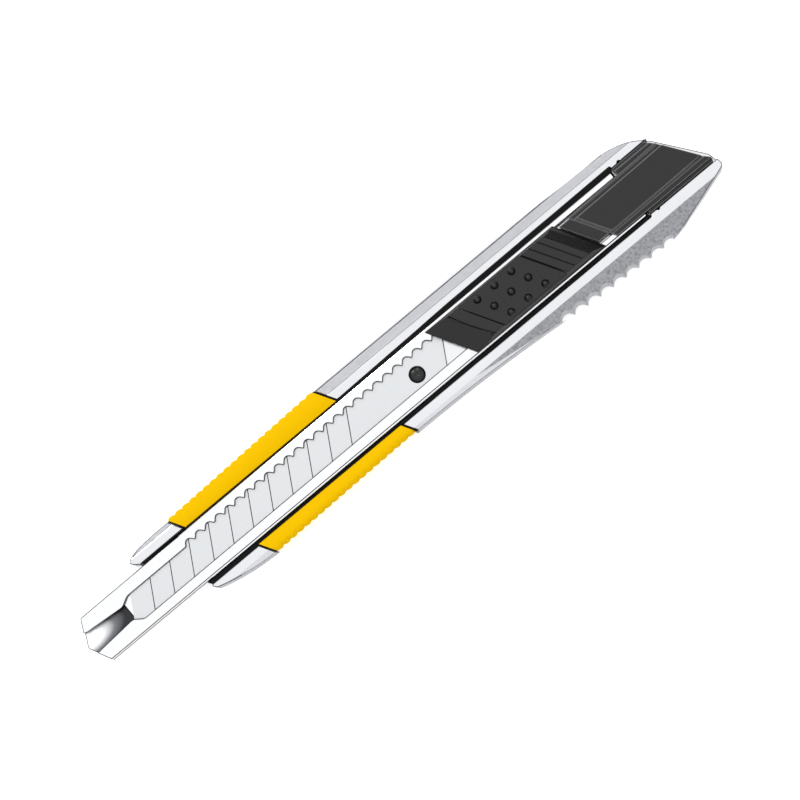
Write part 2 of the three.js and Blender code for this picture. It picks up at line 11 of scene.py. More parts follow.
import bmesh
import bpy
from mathutils import Matrix, Vector


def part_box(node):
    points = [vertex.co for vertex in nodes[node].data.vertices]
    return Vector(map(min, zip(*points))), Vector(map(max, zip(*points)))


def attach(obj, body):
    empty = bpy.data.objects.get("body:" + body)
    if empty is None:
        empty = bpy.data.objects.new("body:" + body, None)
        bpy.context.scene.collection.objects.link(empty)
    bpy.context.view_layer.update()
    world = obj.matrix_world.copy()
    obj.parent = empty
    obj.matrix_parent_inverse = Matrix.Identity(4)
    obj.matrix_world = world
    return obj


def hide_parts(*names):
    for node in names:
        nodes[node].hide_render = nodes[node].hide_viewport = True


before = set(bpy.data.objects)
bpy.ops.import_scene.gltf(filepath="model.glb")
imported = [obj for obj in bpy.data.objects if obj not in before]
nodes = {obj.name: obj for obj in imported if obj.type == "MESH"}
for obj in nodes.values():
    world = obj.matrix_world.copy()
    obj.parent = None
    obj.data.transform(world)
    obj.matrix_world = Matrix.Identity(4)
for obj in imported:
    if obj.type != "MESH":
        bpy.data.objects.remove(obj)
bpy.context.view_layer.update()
print("CAD pieces:", sorted(nodes))

# %% [markdown]
# ## Working in millimetres
#
# Blender's tools round off at about a thousandth of a unit. On a knife with 0.1 mm edges that is too
# coarse in metres, so every piece is drawn in millimetres and scaled down at the very end. The
# heights below are read from the frame, so the looks cannot drift away from the CAD model.

# %% Heights and slants
RAKE = math.tan(math.radians(30))  # every slanted end leans 30 degrees


def low_mm(node):
    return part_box(node)[0] * 1000


def high_mm(node):
    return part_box(node)[1] * 1000


RIM = high_mm("handle_casting").z
LIPS = high_mm("blade_channel").z
CHANNEL_BASE = low_mm("blade_channel").z
NOSE = low_mm("blade_channel").x
TAIL = high_mm("handle_casting").x
TROUGH_FLOOR = RIM - 3.4
BLADE_LOW = low_mm("blade").z
BLADE_HIGH = high_mm("blade").z


def leaning(x, y):
    """Where a slanted edge that crosses the middle at x stands at this y."""
    return x - RAKE * y


print("rim", round(RIM, 2), "lips", round(LIPS, 2), "nose", round(NOSE, 2), "tail", round(TAIL, 2))

# %% [markdown]
# ## Drawing outlines
#
# Most parts of a knife are flat shapes with thickness: sheet metal, a blade, a moulded cap. They could
# be modelled by pulling vertices about, but an outline pushed through a height says the same thing in
# a few numbers. Straight stretches need only their ends. Bends are drawn as curves.


# %% Curves and arcs
def bend(start, control, end, steps=14):
    """Points on a smooth bend, without its first point."""
    points = []
    for i in range(1, steps + 1):
        t = i / steps
        a, b, c = (1 - t) ** 2, 2 * t * (1 - t), t * t
        points.append(tuple(a * p + b * q + c * r for p, q, r in zip(start, control, end)))
    return points


def route(first, *moves):
    """An outline from corner points and bends. A bend is written as (control, end)."""
    points = [first]
    for move in moves:
        if isinstance(move[0], tuple):
            points += bend(points[-1], *move)
        else:
            points.append(move)
    return points


def round_box(a0, a1, b0, b1, radius, steps=8):
    """A rectangle with rounded corners."""
    points = []
    corners = [(a1, b0, -90), (a1, b1, 0), (a0, b1, 90), (a0, b0, 180)]
    for a, b, start in corners:
        centre_a = a - radius if a == a1 else a + radius
        centre_b = b - radius if b == b1 else b + radius
        for i in range(steps + 1):
            angle = math.radians(start + 90 * i / steps)
            points.append((centre_a + radius * math.cos(angle), centre_b + radius * math.sin(angle)))
    return points


print("a bend of 14 steps ends at", route((0, 0), ((1, 0), (1, 1)))[-1])


# %% Pushing an outline through a height
def object_from(bm, name="draft"):
    """Closes a bmesh into an object of the scene."""
    bmesh.ops.recalc_face_normals(bm, faces=bm.faces)
    mesh = bpy.data.meshes.new(name)
    bm.to_mesh(mesh)
    bm.free()
    piece = bpy.data.objects.new(name, mesh)
    bpy.context.scene.collection.objects.link(piece)
    return piece


def bridge(bm, ring_a, ring_b):
    """A band of faces between two rings with the same number of points."""
    for i in range(len(ring_a)):
        j = (i + 1) % len(ring_a)
        bm.faces.new((ring_a[i], ring_a[j], ring_b[j], ring_b[i]))


# Where an outline's two numbers and the height go, for each direction of the push.
PLACES = {"z": (0, 1, 2), "x": (1, 2, 0), "y": (0, 2, 1)}


def prism(outline, low, high, along="z"):
    """A solid with this outline, from low to high along one axis."""
    first, second, third = PLACES[along]
    bm = bmesh.new()
    rings = []
    for level in (low, high):
        ring = []
        for a, b in outline:
            spot = [0, 0, 0]
            spot[first], spot[second], spot[third] = a, b, level
            ring.append(bm.verts.new(spot))
        rings.append(ring)
        bm.faces.new(ring)
    bridge(bm, *rings)
    return object_from(bm)


def block(x0, x1, y0, y1, z0, z1):
    return prism([(x0, y0), (x1, y0), (x1, y1), (x0, y1)], z0, z1)


def slanted(front, rear, y0, y1, z0, z1):
    """A slab between two slanted edges."""
    corners = [
        (leaning(front, y0), y0),
        (leaning(rear, y0), y0),
        (leaning(rear, y1), y1),
        (leaning(front, y1), y1),
    ]
    return prism(corners, z0, z1)


def disc(x, y, radius, z0, z1, sides=48):
    angles = [math.tau * i / sides for i in range(sides)]
    return prism([(x + radius * math.cos(a), y + radius * math.sin(a)) for a in angles], z0, z1)


def sheared(piece, lean):
    """Leans a piece, so that lines straight across the knife become slanted."""
    for vertex in piece.data.vertices:
        vertex.co.x += lean * vertex.co.y
    return piece


print("outlines can be pushed along", sorted(PLACES))


# %% Turning a profile
def turned(profile, x, y, sides):
    """Spins a profile of (radius, height) about an upright axis. Its ends lie on the axis."""
    bm = bmesh.new()
    rings = []
    for radius, height in profile[1:-1]:
        ring = []
        for i in range(sides):
            angle = math.tau * i / sides
            spot = (x + radius * math.cos(angle), y + radius * math.sin(angle), height)
            ring.append(bm.verts.new(spot))
        rings.append(ring)
    for ring_a, ring_b in zip(rings, rings[1:]):
        bridge(bm, ring_a, ring_b)
    bm.faces.new(rings[0])
    bm.faces.new(rings[-1])
    return object_from(bm)


# %% [markdown]
# ## Cutting and rounding
#
# A real casting or moulding is never sharp: every edge has a small radius, and that radius is what
# catches the light. Pieces are cut to shape with Boolean modifiers first. Then flat faces that were
# split by the cuts are merged again, and a Bevel modifier rounds every edge that is left.


# %% Cutting tools
def settled(piece):
    """Applies a piece's modifiers, so its mesh is what they show."""
    graph = bpy.context.evaluated_depsgraph_get()
    mesh = bpy.data.meshes.new_from_object(piece.evaluated_get(graph))
    piece.modifiers.clear()
    piece.data = mesh
    return piece


def combine(piece, others, operation):
    for other in others:
        step = piece.modifiers.new("cut", "BOOLEAN")
        step.operation = operation
        step.solver = "EXACT"
        step.object = other
        settled(piece)
        bpy.data.objects.remove(other)
    return piece


def cut(piece, *others):
    return combine(piece, others, "DIFFERENCE")


def keep(piece, *others):
    return combine(piece, others, "INTERSECT")


def join(piece, *others):
    return combine(piece, others, "UNION")


def stack(piece, *others):
    """Adds small bodies that only sink into a piece, with no cutting between them."""
    bm = bmesh.new()
    bm.from_mesh(piece.data)
    for other in others:
        bm.from_mesh(other.data)
        bpy.data.objects.remove(other)
    bm.to_mesh(piece.data)
    bm.free()
    return piece


# %% Shading and rounding tools
CLOSE = 0.002  # points nearer than this, in mm, are one point
SAME_PLANE = math.radians(0.15)


def merge_flats(piece):
    """Joins faces that lie in one plane, and drops points on straight edges."""
    bm = bmesh.new()
    bm.from_mesh(piece.data)
    bmesh.ops.remove_doubles(bm, verts=bm.verts, dist=CLOSE)
    bmesh.ops.dissolve_degenerate(bm, edges=bm.edges, dist=CLOSE)
    bmesh.ops.dissolve_limit(bm, angle_limit=SAME_PLANE, verts=bm.verts, edges=bm.edges)
    bm.to_mesh(piece.data)
    bm.free()
    return piece


def even_shading(piece):
    """Smooth shading in which each large flat face keeps its own direction."""
    for face in piece.data.polygons:
        face.use_smooth = True
    step = piece.modifiers.new("even shading", "WEIGHTED_NORMAL")
    step.mode = "FACE_AREA"
    step.weight = 50
    step.keep_sharp = True
    return settled(piece)


def shade(piece, crease):
    """Smooth shading that stops at edges sharper than the crease angle."""
    bm = bmesh.new()
    bm.from_mesh(piece.data)
    for edge in bm.edges:
        angle = edge.calc_face_angle(0) if len(edge.link_faces) == 2 else math.pi
        edge.smooth = angle < math.radians(crease)
    for face in bm.faces:
        face.smooth = True
    bm.to_mesh(piece.data)
    bm.free()
    return piece


def in_full(start, end):
    """The usual share of the rounding, for an edge from start to end: all of it."""
    return 1


def soften(piece, radius, sharper_than=24, segments=3, edge_finish=-1, share=in_full):
    """Rounds every edge that turns more than an angle, by its share of the radius."""
    merge_flats(piece)
    bm = bmesh.new()
    bm.from_mesh(piece.data)
    weight = bm.edges.layers.float.new("bevel_weight_edge")
    for edge in bm.edges:
        if edge.calc_face_angle(0) > math.radians(sharper_than):
            edge[weight] = share(edge.verts[0].co, edge.verts[1].co)
            edge.smooth = edge[weight] > 0
    bm.to_mesh(piece.data)
    bm.free()
    step = piece.modifiers.new("soft edges", "BEVEL")
    step.width = radius
    step.segments = segments
    step.limit_method = "WEIGHT"
    step.miter_outer = "MITER_ARC"
    step.material = edge_finish
    step.use_clamp_overlap = False
    settled(piece)
    return even_shading(piece)


print("edges that turn less than", round(math.degrees(SAME_PLANE), 2), "degrees are merged")


# %% Finishes and mounting
def split(piece, point, normal):
    """Draws one straight cut across a piece, so that its two sides can get different finishes."""
    bm = bmesh.new()
    bm.from_mesh(piece.data)
    everything = bm.verts[:] + bm.edges[:] + bm.faces[:]
    bmesh.ops.bisect_plane(bm, geom=everything, plane_co=point, plane_no=normal)
    bm.to_mesh(piece.data)
    bm.free()


def dress(piece, *materials):
    """Gives a piece its finishes. The first one covers it until faces are told otherwise."""
    for material in materials:
        piece.data.materials.append(material)
    return piece


def mount(piece, name, node, body):
    """Scales a finished piece to metres and puts it in the frame in place of its CAD node."""
    piece.data.transform(Matrix.Scale(0.001, 4))
    piece.name = name
    piece.data.name = name
    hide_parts(node)
    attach(piece, body)
    print(name, "has", len(piece.data.polygons), "faces")
    return piece


# %% [markdown]
# ## Making materials
#
# Every finish below is a Principled BSDF with a few nodes for its grain. One function turns the
# familiar hex colours into the linear light that Blender works in, and one small function adds a node.


# %% Colour and node helpers
def linear(code):
    """An sRGB hex colour as linear RGBA."""
    parts = [int(code[i : i + 2], 16) / 255 for i in (1, 3, 5)]
    light = [p / 12.92 if p <= 0.04045 else ((p + 0.055) / 1.055) ** 2.4 for p in parts]
    return (*light, 1)


def add(tree, kind, settings=None, **links):
    """Adds a node. Settings are its properties or socket values; links are sockets to feed."""
    node = tree.nodes.new(kind)
    for key, value in (settings or {}).items():
        if key in node.inputs:
            node.inputs[key].default_value = value
        else:
            setattr(node, key, value)
    for key, source in links.items():
        tree.links.new(source, node.inputs[key.replace("_", " ")])
    return node


def new_material(name, **values):
    """A material with its Principled BSDF set, and the nodes ready to add to."""
    material = bpy.data.materials.new(name)
    material.use_nodes = True
    shader = material.node_tree.nodes["Principled BSDF"]
    for key, value in values.items():
        shader.inputs[key.replace("_", " ")].default_value = value
    return material, material.node_tree, shader


print("mid grey #808080 in linear light:", round(linear("#808080")[0], 3))

# %% [markdown]
# ## Die-cast zinc
#
# The handle is a zinc alloy die casting. Its rims are polished by hand, so they mirror the room like
# chrome with a faint ripple. Its outer facets are only tumbled, which leaves a fine satin grain, and
# the lower facet keeps the coarse skin of the mould for grip. One metal gets four materials, which
# differ in tone, in roughness and in the size of their bumps. The fourth is a darker zinc that paints
# a dark reflection along the outermost edges.


# %% Four finishes of one metal
def grained(tree, shader, size_mm, height_mm, roughness, detail=3.0, stretch=(1, 1, 1)):
    """Soft grain of a real size and height that also moves the roughness between two limits."""
    place = add(tree, "ShaderNodeTexCoord")
    scaled = add(tree, "ShaderNodeMapping", {"Scale": stretch}, Vector=place.outputs["Object"])
    look = {"Scale": 1000 / size_mm, "Detail": detail}
    grain = add(tree, "ShaderNodeTexNoise", look, Vector=scaled.outputs["Vector"])
    relief = {"Strength": 1, "Distance": height_mm / 1000}
    bump = add(tree, "ShaderNodeBump", relief, Height=grain.outputs["Fac"])
    limits = {"From Min": 0.3, "From Max": 0.7, "To Min": roughness[0], "To Max": roughness[1]}
    spread = add(tree, "ShaderNodeMapRange", limits, Value=grain.outputs["Fac"])
    tree.links.new(bump.outputs["Normal"], shader.inputs["Normal"])
    tree.links.new(spread.outputs["Result"], shader.inputs["Roughness"])
    return grain


polished_zinc, tree, shader = new_material(
    "polished_zinc", Base_Color=linear("#D8D9DC"), Metallic=1
)
grained(tree, shader, size_mm=9, height_mm=0.012, roughness=(0.1, 0.2), detail=1)

# Tumbling leaves a thin haze of oxide on the satin facets, so they scatter a little of the light.
tumbled_zinc, tree, shader = new_material(
    "tumbled_zinc", Base_Color=linear("#E4E5E9"), Metallic=0.85
)
grained(tree, shader, size_mm=0.5, height_mm=0.012, roughness=(0.38, 0.5))

mould_skin_zinc, tree, shader = new_material("mould_skin_zinc", Metallic=1)
skin = grained(tree, shader, size_mm=0.55, height_mm=0.06, roughness=(0.4, 0.55))
pits = add(tree, "ShaderNodeValToRGB", None, Fac=skin.outputs["Fac"])
pits.color_ramp.elements[0].position = 0.3
pits.color_ramp.elements[0].color = linear("#8A8B8F")
pits.color_ramp.elements[1].position = 0.6
pits.color_ramp.elements[1].color = linear("#B4B5B8")
tree.links.new(pits.outputs["Color"], shader.inputs["Base Color"])

# The outermost edges of the fins and the tail, and the rounded back of the spine outside a middle
# band, are painted darker: a painted dark reflection along these edges.
painted_dark_edge_zinc, tree, shader = new_material("painted_dark_edge_zinc", Base_Color=linear("#6E6F73"), Metallic=1)
grained(tree, shader, size_mm=0.4, height_mm=0.01, roughness=(0.35, 0.5))
zinc_finishes = (polished_zinc, tumbled_zinc, mould_skin_zinc, painted_dark_edge_zinc)
print("zinc finishes:", [finish.name for finish in zinc_finishes])

# %% [markdown]
# ## The handle
#
# In plan the handle is a long bar with a front fin on each side of the channel, a row of finger ridges
# along its keel and a slanted tail. Across, it has a flat rim, two outer facets and a rounded back.
# Both shapes are simple, and the solid that has both is their intersection.

# %% The plan of the handle
keel = route(
    (-51.2, -5),
    (-51.1, -6.4),
    ((-51, -7.1), (-50, -7.4)),
    ((-43.5, -9.25), (-36.5, -9.25)),
    (-1.8, -8.8),
    ((17, -8.8), (33.8, -10.45)),
    ((46, -11.75), (58.7, -11.98)),
    ((61.5, -12), (63, -11.7)),
    ((64.8, -11.3), (66, -10.85)),
    (77, -7.5),
    ((TAIL, -7.2), (TAIL, -6.5)),
    (77.15, -3.6),
    (70.2, 5.6),
)
spine = route(
    keel[-1],
    ((69.6, 6.3), (68.6, 6.6)),
    ((65, 9.4), (60.3, 9.75)),
    (50.6, 9.95),
    ((40, 10.5), (29, 10.5)),
    (-10, 10.45),
    (-49.6, 8.95),
    ((-56.2, 8.95), (-58.4, 8.55)),
    ((-60.6, 8.1), (-60.8, 7.35)),
    ((-60.7, 6.7), (-59.4, 6)),
    (-59.2, 5),
)
handle_plan = keel + spine[1:]
print("the plan of the handle has", len(handle_plan), "points")

# %% The section of the handle
handle_section = route(
    (6.6, 0),
    ((10.3, 0.1), (10.5, 3.4)),
    (10.5, 4),
    ((10.5, 4.95), (9.55, 5.53)),
    (7.8, RIM),
    (-7.8, RIM),
    (-11.6, RIM - 1.72),
    ((-12.4, RIM - 2.1), (-12.4, 3.4)),
    ((-12, 0.2), (-8, 0)),
)
print("the section is", round(max(height for _, height in handle_section), 2), "mm high")

# %% [markdown]
# The trough is a plain rectangular cut. Where a grip sits, the flank is cut back to a core that the
# black liner wraps around. Two small notches at the rear take the catches of the end cap.

# %% Casting the handle
UPPER_GRIP = (-44.5, -6.3)  # where each grip starts and ends along the knife
LOWER_GRIP = (-42.4, -6.5)
GRIP_SIDES = ((UPPER_GRIP, 1), (LOWER_GRIP, -1))
BORDER = 0.45  # room for the black border at each end of a grip
CORE_HALF = 6.95  # half the width of the core under the grips
CORE_TOP = RIM - 1.4
BEYOND = 13  # outside every flank
REAR_KEEL_WALL, REAR_SPINE_WALL = -5.6, 6.2  # the trough beside the cap
CATCH_X, CATCH_HALF, CATCH_DEPTH = 62.4, 0.9, 0.45
RIVET_PLACES = (-30, 52)


def across(side, inner, outer):
    """The two y limits of a band on one side of the knife."""
    return (inner, outer) if side > 0 else (-outer, -inner)


def grip_zone(grip, side, inner, z0):
    """Everything outside the inner limit, over the length of a grip and its borders."""
    return slanted(grip[0] - BORDER, grip[1] + BORDER, *across(side, inner, BEYOND), z0, RIM + 1)


def catch_notch(wall):
    """A small notch in a wall of the trough, for a catch of the cap."""
    out = math.copysign(1, wall)
    corners = [
        (CATCH_X - CATCH_HALF, wall - out * 0.3),
        (CATCH_X + CATCH_HALF, wall - out * 0.3),
        (CATCH_X, wall + out * CATCH_DEPTH),
    ]
    return prism(corners, TROUGH_FLOOR + 0.4, RIM + 1)


handle = prism(handle_plan, 0, RIM)
dress(handle, *zinc_finishes)
keep(handle, prism(handle_section, -90, 90, along="x"))
bed = [(-90, -6.1), (60.5, -6.1), (60.5, 6.7), (58, 6.7), (20, 6.5), (-8, 6), (-90, 5.9)]
rear_bed = block(50, 90, REAR_KEEL_WALL, REAR_SPINE_WALL, TROUGH_FLOOR, RIM + 1)
cut(handle, prism(bed, TROUGH_FLOOR, RIM + 1), rear_bed)
for grip, side in GRIP_SIDES:
    cut(handle, grip_zone(grip, side, CORE_HALF, -1), grip_zone(grip, side, 5, CORE_TOP))
cut(handle, catch_notch(REAR_SPINE_WALL), catch_notch(REAR_KEEL_WALL))
for x in RIVET_PLACES:
    cut(handle, disc(x, 0, 2, -1, 1.3), disc(x, 0, 1, -1, TROUGH_FLOOR + 1))
print("handle drafted with", len(handle.data.polygons), "faces")

# %% [markdown]
# The fingers rest on a row of ridges along the keel. They are easier to think of as hollows: each one
# is a round cutter that leans open at the top, and two neighbours leave a sharp ridge between them. The
# hollows stay out of the rounding that follows, or it would eat the ridges.

# %% Finger hollows
HOLLOW_PITCH = 3.08
HOLLOWS = 9
FIRST_HOLLOW = 35.45
LAST_HOLLOW = FIRST_HOLLOW + HOLLOW_PITCH * (HOLLOWS - 1)
HOLLOW_REACH = 1.3  # half the length of a hollow along the keel
FIRST_DEPTH, DEPTH_GAIN = -10.35, 1.55  # the keel widens to the rear, and the hollows follow it
SKIN_POINT = (12, -7.7, 0)  # on the slanted line where the mould skin starts
SKIN_ACROSS = (0.122, 0.993, 0)  # at right angles to that line


def finger_hollow(x, y):
    """An upright cutter that widens towards the top, for one finger hollow."""
    profile = [(0, -1), (1.45, -1), (1.45, 3.4), (1.5, 4.4), (1.74, 5.6), (1.74, 8), (0, 8)]
    return turned(profile, x, y, 40)


def off_hollows(start, end):
    """No rounding between the first and the last hollow."""
    first = FIRST_HOLLOW - HOLLOW_REACH
    last = LAST_HOLLOW + HOLLOW_REACH
    middle = (start + end) / 2
    return 0 if first < middle.x < last and middle.y < -8.6 else 1


for i in range(HOLLOWS):
    deepest = FIRST_DEPTH - DEPTH_GAIN * math.sin(math.pi / 2 * i / (HOLLOWS - 1))
    cut(handle, finger_hollow(FIRST_HOLLOW + HOLLOW_PITCH * i, deepest - 0.62))
soften(handle, 0.2, edge_finish=3, share=off_hollows)
split(handle, SKIN_POINT, SKIN_ACROSS)
print(HOLLOWS, "hollows cut, the last one at x =", round(LAST_HOLLOW, 1), "mm")

# %% Which face has which finish
SPINE_FACET = Vector((0, 0.588, 0.809))  # the way each outer facet looks
KEEL_FACET = Vector((0, -0.412, 0.911))


def on_skin(x, y):
    """Whether a spot on the keel facet has the mould skin."""
    skin_start, skin_side, _ = SKIN_POINT
    return x > 30 or (x > -30 and y > skin_side - (x - skin_start) * 0.123)


def finish_of(face):
    """0 polished, 1 tumbled, 2 mould skin, 3 painted dark edge."""
    x, y, _ = face.center
    up = face.normal.z
    outer_edge = face.material_index == 3 and not (x < 0 and 7.4 < y < 8.2)
    # Painted dark reflection on the rounded outer edges of the fins and the tail.
    if outer_edge and (x < -45 or x > 64):  # only the fins and the tail
        return 3
    # The rounded back of the spine is tumbled in a middle band and painted dark around it.
    if y > 8 and 0.05 < up < 0.78:  # the rounded back of the spine
        return 1 if 0.35 < up < 0.66 else 3
    if up < 0.78:
        return 2
    if face.normal.dot(KEEL_FACET) > 0.998 and y < -7.6:
        return 2 if on_skin(x, y) else 1
    if face.normal.dot(SPINE_FACET) > 0.995 and y > 7.6:
        return 1
    return 0


for face in handle.data.polygons:
    face.material_index = finish_of(face)
mount(handle, "handle_die_casting", "handle_casting", "handle")

# %% [markdown]
# ## Black plastics
#
# The slider, the cap and the blade post are moulded in black ABS. The mould is spark eroded, so the
# skin is evenly matt with a grain of about 0.1 mm; handling polishes it a little. The grain is drawn at
# 0.25 mm, or it would not show at all. The liner is a softer, more open-pored moulding.

# %% Black ABS and black liner
black_abs, tree, shader = new_material("moulded_black_abs", IOR=1.46, Metallic=0)
spark_grain = grained(
    tree, shader, size_mm=0.25, height_mm=0.004, roughness=(0.24, 0.34), detail=2
)
mottling = add(tree, "ShaderNodeValToRGB", None, Fac=spark_grain.outputs["Fac"])
mottling.color_ramp.elements[0].color = linear("#070708")
mottling.color_ramp.elements[1].color = linear("#101011")
tree.links.new(mottling.outputs["Color"], shader.inputs["Base Color"])

black_liner_plastic, tree, shader = new_material(
    "black_liner_plastic", Base_Color=linear("#080808"), IOR=1.46, Specular_IOR_Level=0.12
)
grained(tree, shader, size_mm=0.3, height_mm=0.006, roughness=(0.3, 0.42), detail=2)

# The rounded edges of the cap are painted lighter: a painted highlight along each edge.
painted_highlight_abs, tree, shader = new_material("painted_highlight_abs", Base_Color=linear("#6A6A6C"), IOR=1.46)
grained(tree, shader, size_mm=0.25, height_mm=0.002, roughness=(0.2, 0.3), detail=2)
print("made", black_abs.name, painted_highlight_abs.name, "and", black_liner_plastic.name)

# %% [markdown]
# ## The channel liner
#
# One black moulding beds the channel in the trough and wraps over both flanks, where it carries the
# grips and frames their slanted ends. It is drafted like the casting and kept to the same section, so
# the two are flush.

# %% Moulding the liner
KEEL_EDGE = -6.05
SHOWN_BORDER = 0.42  # a little less than the room for it
WING_SIDE = 7.65  # the grips start here on the flanks
WING_TOP = RIM - 0.45  # and here on the top
GRIP_INNER = {1: 5.85, -1: 5.9}  # the edge of each grip beside the channel

liner_bed = [
    (-50.95, KEEL_EDGE),
    (60.3, KEEL_EDGE),
    (60.3, 6.65),
    (58, 6.65),
    (20, 6.45),
    (-8, 5.95),
    (-58.6, 5.85),
    (-59, 5.7),
]
liner = dress(prism(liner_bed, TROUGH_FLOOR + 0.1, RIM - 0.15), black_liner_plastic)
for grip, side in GRIP_SIDES:
    front, rear = grip
    outside = across(side, 5.5, BEYOND)
    wing = slanted(front - SHOWN_BORDER, rear + SHOWN_BORDER, *outside, 0.4, RIM - 0.12)
    keep(wing, prism(handle_plan, 0, RIM), prism(handle_section, -90, 90, along="x"))
    cut(wing, slanted(front, rear, *across(side, WING_SIDE, BEYOND), -1, 9))
    cut(wing, slanted(front, rear, *across(side, GRIP_INNER[side], BEYOND), WING_TOP, 9))
    cut(wing, slanted(front + 1, rear - 1, *across(side, -1, CORE_HALF), -1, CORE_TOP))
    join(liner, wing)
channel_bed = [(-80, -5.2), (80, -5.48), (80, 5.7), (-80, 5.38)]
cut(liner, prism(channel_bed, CHANNEL_BASE - 0.1, 9))
for x in RIVET_PLACES:
    cut(liner, disc(x, 0, 2, 0, CHANNEL_BASE + 1))
soften(liner, 0.08, segments=2)
mount(liner, "moulded_liner", "channel_liner", "handle")

# %% [markdown]
# ## Rolled stainless sheet
#
# The channel is folded from 0.5 mm stainless strip. Rolling leaves it nearly mirror bright, with very
# fine lines along the strip. The lines are stretched noise: the same grain as the casting, pulled out
# forty times along the knife. They are far finer than can show, so they are drawn 0.15 mm wide.

# %% Stainless, ground steel and spring steel
rolled_stainless, tree, shader = new_material(
    "rolled_stainless", Base_Color=linear("#E6E7E9"), Metallic=1
)
grained(tree, shader, 0.15, 0.0006, roughness=(0.12, 0.2), stretch=(0.025, 1, 1))

# A press tears the sheet where it cuts it, so the cut edges are dull. Their dark tone is also painted
# shade, standing in for dark reflections along the rounded edges, the crease and the free bends.
sheared_edge_painted_shade_stainless, tree, shader = new_material(
    "sheared_edge_painted_shade_stainless", Base_Color=linear("#303134"), Metallic=1
)
grained(tree, shader, 0.1, 0.004, roughness=(0.4, 0.55), stretch=(1, 1, 0.2))

ground_blade_steel, tree, shader = new_material(
    "ground_blade_steel", Base_Color=linear("#D1D3D5"), Metallic=1
)
grained(tree, shader, 0.2, 0.0012, roughness=(0.26, 0.36), stretch=(1, 0.05, 1))

# The faces of the score lines and of the tail's square edge are painted darker, a painted shade
# in the grooves.
painted_shade_score_steel, tree, shader = new_material(
    "painted_shade_score_steel", Base_Color=linear("#85878B"), Metallic=1
)
grained(tree, shader, 0.1, 0.002, roughness=(0.4, 0.55))

spring_steel, tree, shader = new_material("spring_steel", Base_Color=linear("#DEDFE1"), Metallic=1)
grained(tree, shader, 0.2, 0.001, roughness=(0.14, 0.24), stretch=(0.05, 1, 1))
print("steels:", rolled_stainless.name, ground_blade_steel.name, spring_steel.name)

# %% [markdown]
# Ahead of the throat the floor of the channel gets a painted reflection of the shade under the lips,
# darkest at the throat and bright at the tip. A round gradient centred on the tip paints that fade
# into the base colour, so it holds from every side.

# %% Painted shade on the floor of the nose
painted_shade_floor_steel, tree, shader = new_material("painted_shade_floor_steel", Metallic=1)
grained(tree, shader, 1.2, 0.02, roughness=(0.2, 0.34), stretch=(0.5, 1, 1))
place = add(tree, "ShaderNodeTexCoord")
TIP_X, TIP_Y = -76.6, 0.9
REACH_X, REACH_Y = 8.6, 3.4
tip_centred = {
    "Scale": (1000 / REACH_X, 1000 / REACH_Y, 0),
    "Location": (-TIP_X / REACH_X, -TIP_Y / REACH_Y, 0),
}
round_fade = {"gradient_type": "SPHERICAL"}
spot = add(tree, "ShaderNodeMapping", tip_centred, Vector=place.outputs["Object"])
fade = add(tree, "ShaderNodeTexGradient", round_fade, Vector=spot.outputs["Vector"])
shade_ramp = add(tree, "ShaderNodeValToRGB", None, Fac=fade.outputs["Fac"])
shade_ramp.color_ramp.elements[0].color = linear("#37373A")
shade_ramp.color_ramp.elements[1].position = 0.62
shade_ramp.color_ramp.elements[1].color = linear("#F2F3F5")
half_way = shade_ramp.color_ramp.elements.new(0.3)
half_way.color = linear("#77787C")
tree.links.new(shade_ramp.outputs["Color"], shader.inputs["Base Color"])
print("the floor fades over", REACH_X, "mm")

# %% [markdown]
# ## The blade channel
#
# A strip folded into a C: a floor, two walls and two lips turned in over the blade. The slot between
# the lips is one outline. It flares at the nose and closes at a throat that steadies the blade. Behind
# the throat the notches of the automatic lock run along its upper lip. A fine crease follows the other
# lip, a raised rest carries the blade's tip, and the fold springs open a little towards the rear.

# %% The slot between the lips
NOTCH_PITCH = 2.5
FIRST_NOTCH = -49.16
NOTCHES = 37


def lock_notch(x):
    """One rounded notch and the pointed tooth behind it."""
    rise = bend((x - 0.98, 2.9), (x - 0.5, 3.72), (x - 0.12, 3.72), 5)
    fall = bend((x + 0.2, 3.72), (x + 0.6, 3.6), (x + 1.05, 2.98), 5)
    return rise + [(x + 0.2, 3.72)] + fall + [(x + 1.3, 2.8)]


upper_lip = route(
    (NOSE - 2, 2.9),
    (-76.3, 2.6),
    (-75.8, 2.35),
    (-67.9, 1.7),
    ((-67.2, 1.62), (-66.8, 1.9)),
    (-65.5, 2.6),
    ((-65.2, 2.75), (-64.7, 2.75)),
    (FIRST_NOTCH - 1.1, 2.75),
)
for i in range(NOTCHES):
    upper_lip += lock_notch(FIRST_NOTCH + i * NOTCH_PITCH)
lower_lip = route(
    (NOSE - 2, -2.6),
    (-76, -1.95),
    (-67.9, -1.42),
    ((-67.2, -1.38), (-66.8, -1.65)),
    (-65.6, -2.55),
    ((-65.2, -2.72), (-64.7, -2.72)),
    (44.4, -2.72),
    (45, -3.8),
    (62, -3.8),
)
slot = lower_lip + [(62, 4.4), (43, 4.4)] + upper_lip[::-1]
print("the slot has", len(slot), "points")

